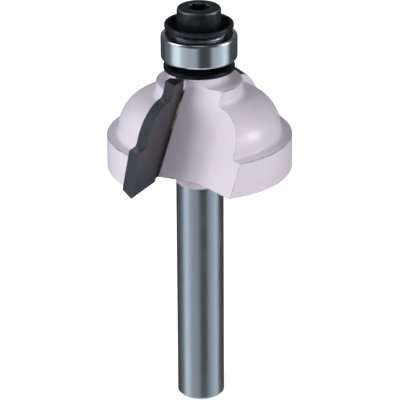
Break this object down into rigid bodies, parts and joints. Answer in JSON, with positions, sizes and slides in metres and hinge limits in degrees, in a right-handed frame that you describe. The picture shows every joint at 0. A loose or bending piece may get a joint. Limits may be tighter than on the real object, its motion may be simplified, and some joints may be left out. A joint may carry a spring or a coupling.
{
  "type": "router bit",
  "caption": "Cove-profile router bit with brazed carbide tips on a painted head, a plain round shank and a ball bearing on its nose that follows the template.",
  "frame": {"origin": "centre of the shank's flat end, on the axis that the bit turns about", "axes": "+Z along the axis from the shank to the bearing and the screw, -Y towards the camera of the picture"},
  "size_m": [0.0232, 0.022, 0.053],
  "materials": {
    "painted_body": "semi-gloss",
    "carbide": "ground",
    "braze": "rough",
    "black_shield": "satin black",
    "bearing_steel": "ground and polished",
    "ball_steel": "polished",
    "cage_plastic": "matte",
    "seal_rubber": "matte",
    "black_screw": "black oxide"
  },
  "bodies": {
    "cutter": {"cutter_body": "painted_body", "carbide_tip_1": "carbide", "carbide_tip_2": "carbide", "braze_seam_1": "braze", "braze_seam_2": "braze", "lower_shield": "black_shield", "bearing_inner_ring": "bearing_steel", "upper_shield": "black_shield", "cap_screw": "black_screw"},
    "bearing_rim": {"bearing_outer_ring": "bearing_steel", "bearing_seal_lower": "seal_rubber", "bearing_seal_upper": "seal_rubber"},
    "ball_cage": {"bearing_cage": "cage_plastic"},
    "ball_1": {"bearing_ball_1": "ball_steel"},
    "ball_2": {"bearing_ball_2": "ball_steel"},
    "ball_3": {"bearing_ball_3": "ball_steel"},
    "ball_4": {"bearing_ball_4": "ball_steel"},
    "ball_5": {"bearing_ball_5": "ball_steel"},
    "ball_6": {"bearing_ball_6": "ball_steel"},
    "ball_7": {"bearing_ball_7": "ball_steel"},
    "ball_8": {"bearing_ball_8": "ball_steel"}
  },
  "joints": [
    {"name": "rim_spin", "type": "hinge", "parent": "cutter", "child": "bearing_rim", "pos_m": [0, 0, 0.048], "axis": [0, 0, 1], "continuous": true},
    {"name": "cage_spin", "type": "hinge", "parent": "cutter", "child": "ball_cage", "pos_m": [0, 0, 0.048], "axis": [0, 0, 1], "continuous": true},
    {"name": "ball_1_spin", "type": "hinge", "parent": "ball_cage", "child": "ball_1", "pos_m": [0.00357, 0, 0.048], "axis": [0, 0, 1], "continuous": true},
    {"name": "ball_2_spin", "type": "hinge", "parent": "ball_cage", "child": "ball_2", "pos_m": [0.00253, 0.00253, 0.048], "axis": [0, 0, 1], "continuous": true},
    {"name": "ball_3_spin", "type": "hinge", "parent": "ball_cage", "child": "ball_3", "pos_m": [0, 0.00357, 0.048], "axis": [0, 0, 1], "continuous": true},
    {"name": "ball_4_spin", "type": "hinge", "parent": "ball_cage", "child": "ball_4", "pos_m": [-0.00253, 0.00253, 0.048], "axis": [0, 0, 1], "continuous": true},
    {"name": "ball_5_spin", "type": "hinge", "parent": "ball_cage", "child": "ball_5", "pos_m": [-0.00357, 0, 0.048], "axis": [0, 0, 1], "continuous": true},
    {"name": "ball_6_spin", "type": "hinge", "parent": "ball_cage", "child": "ball_6", "pos_m": [-0.00253, -0.00253, 0.048], "axis": [0, 0, 1], "continuous": true},
    {"name": "ball_7_spin", "type": "hinge", "parent": "ball_cage", "child": "ball_7", "pos_m": [0, -0.00357, 0.048], "axis": [0, 0, 1], "continuous": true},
    {"name": "ball_8_spin", "type": "hinge", "parent": "ball_cage", "child": "ball_8", "pos_m": [0.00253, -0.00253, 0.048], "axis": [0, 0, 1], "continuous": true}
  ],
  "couplings": [
    {"joint": "cage_spin", "follows": "rim_spin", "ratio": 0.61111},
    {"joint": "ball_1_spin", "follows": "rim_spin", "ratio": 2.1389},
    {"joint": "ball_2_spin", "follows": "rim_spin", "ratio": 2.1389},
    {"joint": "ball_3_spin", "follows": "rim_spin", "ratio": 2.1389},
    {"joint": "ball_4_spin", "follows": "rim_spin", "ratio": 2.1389},
    {"joint": "ball_5_spin", "follows": "rim_spin", "ratio": 2.1389},
    {"joint": "ball_6_spin", "follows": "rim_spin", "ratio": 2.1389},
    {"joint": "ball_7_spin", "follows": "rim_spin", "ratio": 2.1389},
    {"joint": "ball_8_spin", "follows": "rim_spin", "ratio": 2.1389}
  ]
}
